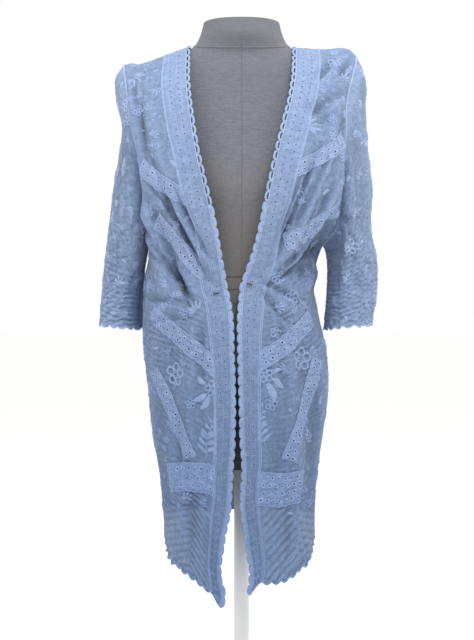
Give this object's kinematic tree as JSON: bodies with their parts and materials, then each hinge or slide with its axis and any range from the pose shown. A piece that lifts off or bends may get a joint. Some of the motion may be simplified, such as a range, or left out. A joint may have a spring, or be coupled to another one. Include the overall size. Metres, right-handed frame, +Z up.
{
  "type": "kimono cardigan on dress form",
  "caption": "Open-front kimono cardigan of cutwork cotton voile with looped eyelet bands, three-quarter sleeves and pointed fronts, on a limbless linen dress form with a pole stand.",
  "frame": {"origin": "centre of the underside of the stand's base plate, on the surface it stands on", "axes": "+Z up, -Y out of the garment's front, +X to the garment's own left side"},
  "size_m": [0.4641, 0.3, 1.16],
  "materials": {
    "voile": "woven cotton voile, slightly crinkled",
    "eyelet": "eyelet cotton with satin-stitched edges",
    "thread": "dark sewing thread",
    "linen": "natural linen cover",
    "form_paint": "matt black paint",
    "stand_enamel": "white enamel on steel"
  },
  "bodies": {
    "root": {"front_right": "voile", "front_left": "voile", "back": "voile", "sleeve_right": "voile", "sleeve_left": "voile", "front_band_right": "eyelet", "front_band_left": "eyelet", "back_neck_band": "eyelet", "edging_right": "eyelet", "edging_left": "eyelet", "insertion_waist_right": "eyelet", "insertion_hip_right": "eyelet", "insertion_hem_right": "eyelet", "insertion_chest_upper_right": "eyelet", "insertion_chest_lower_right": "eyelet", "insertion_waist_left": "eyelet", "insertion_hip_left": "eyelet", "insertion_hem_left": "eyelet", "insertion_chest_upper_left": "eyelet", "insertion_chest_lower_left": "eyelet", "tie_strand_upper": "thread", "tie_strand_lower": "thread", "tie_stitch_right": "thread", "tie_stitch_left": "thread", "form_torso": "linen", "form_hip_base": "form_paint", "stand_pole": "stand_enamel", "stand_base": "stand_enamel"}
  },
  "joints": []
}
